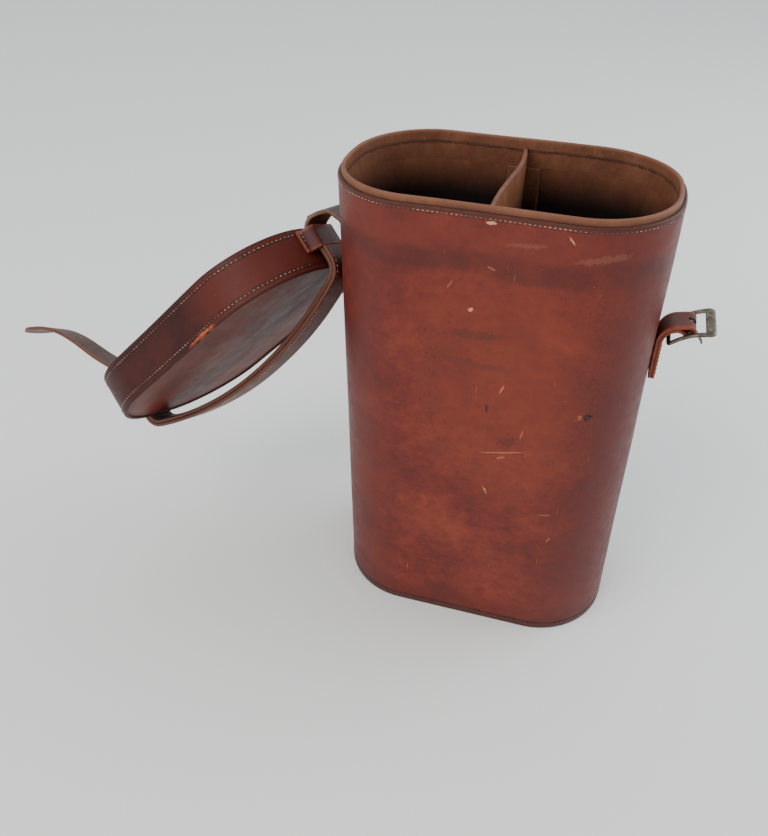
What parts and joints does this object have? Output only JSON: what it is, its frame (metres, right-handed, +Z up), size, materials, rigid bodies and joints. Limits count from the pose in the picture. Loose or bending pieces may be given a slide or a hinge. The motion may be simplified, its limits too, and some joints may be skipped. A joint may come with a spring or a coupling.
{
  "type": "bottle case",
  "caption": "Leather carrying case with a divider for tall bottles, a slip-over lid on a folding strap that makes the handle, and a buckle on the end wall.",
  "frame": {"origin": "middle of the case's underside, on the face it stands on", "axes": "+Z up through the mouth of the case; +X along the case's long side towards the buckle, -X towards the hanging lid; +Y across, towards the back"},
  "size_m": [0.5482, 0.1371, 0.3212],
  "materials": {
    "shell_leather": "satin, red-brown bridle leather with mottling",
    "lining_leather": "matt, vegetable-tanned calf lining",
    "lid_leather": "satin, dark red-brown bridle leather",
    "panel_leather": "waxed, greyish brown, worn",
    "suede": "matt suede",
    "strap_leather": "satin strap leather, flesh side grey-olive",
    "thread": "matt waxed linen thread",
    "dark_thread": "matt waxed linen thread",
    "buckle_steel": "dull, tarnished nickel-plated steel"
  },
  "bodies": {
    "case": {"base_panel": "shell_leather", "case_shell": "shell_leather", "case_lining": "lining_leather", "rim_collar": "lining_leather", "base_lining": "lining_leather", "rim_thread": "thread", "base_thread": "dark_thread", "divider": "lining_leather", "divider_flanges": "lining_leather", "strap_anchor": "strap_leather", "buckle_chape": "shell_leather"},
    "strap_lower": {"strap_lower": "strap_leather"},
    "strap_upper": {"strap_upper": "strap_leather"},
    "strap_slider": {"strap_slider": "strap_leather"},
    "lid": {"lid_wall": "lid_leather", "lid_top": "panel_leather", "lid_lining": "suede", "lid_edge_thread": "thread", "lid_top_thread": "thread", "hinge_keeper": "strap_leather", "far_keeper": "strap_leather", "handle_strap": "strap_leather", "handle_backing": "strap_leather"},
    "billet": {"billet": "strap_leather"},
    "buckle": {"buckle_frame": "buckle_steel", "buckle_bar": "buckle_steel"},
    "prong": {"buckle_prong": "buckle_steel"}
  },
  "joints": [
    {"name": "lid_fold", "type": "hinge", "parent": "case", "child": "strap_lower", "pos_m": [-0.1014, 0, 0.281], "axis": [0, 0.9219, 0.3875], "range_deg": [0, 82], "deforming": ["strap_lower"]},
    {"name": "strap_middle_fold", "type": "hinge", "parent": "strap_lower", "child": "strap_upper", "pos_m": [-0.11944, 0.01217, 0.28207], "axis": [0.7519, 0.6409, 0.1548], "range_deg": [0, 85.9], "deforming": ["strap_upper"]},
    {"name": "strap_upper_fold", "type": "hinge", "parent": "strap_upper", "child": "strap_slider", "pos_m": [-0.1332, 0.01226, 0.26638], "axis": [0.4147, 0.7604, -0.4998], "range_deg": [0, 84.3], "deforming": ["strap_slider"]},
    {"name": "lid_slide", "type": "slide", "parent": "strap_slider", "child": "lid", "axis": [-0.6621, 0.392, 0.6386], "range_m": [0, 0.0307]},
    {"name": "billet_swing", "type": "hinge", "parent": "lid", "child": "billet", "pos_m": [-0.28096, -0.00526, 0.11298], "axis": [0.2292, 0.9173, -0.3255], "range_deg": [-40, 0]},
    {"name": "buckle_swing", "type": "hinge", "parent": "case", "child": "buckle", "pos_m": [0.11822, 0, 0.23827], "axis": [0, -1, 0], "range_deg": [0, 60]},
    {"name": "prong_swing", "type": "hinge", "parent": "buckle", "child": "prong", "pos_m": [0.11822, 0, 0.23827], "axis": [0, -1, 0], "range_deg": [-25, 45]}
  ],
  "couplings": [
    {"joint": "strap_middle_fold", "follows": "lid_fold", "ratio": 1.0476},
    {"joint": "strap_upper_fold", "follows": "lid_fold", "ratio": 1.028}
  ]
}
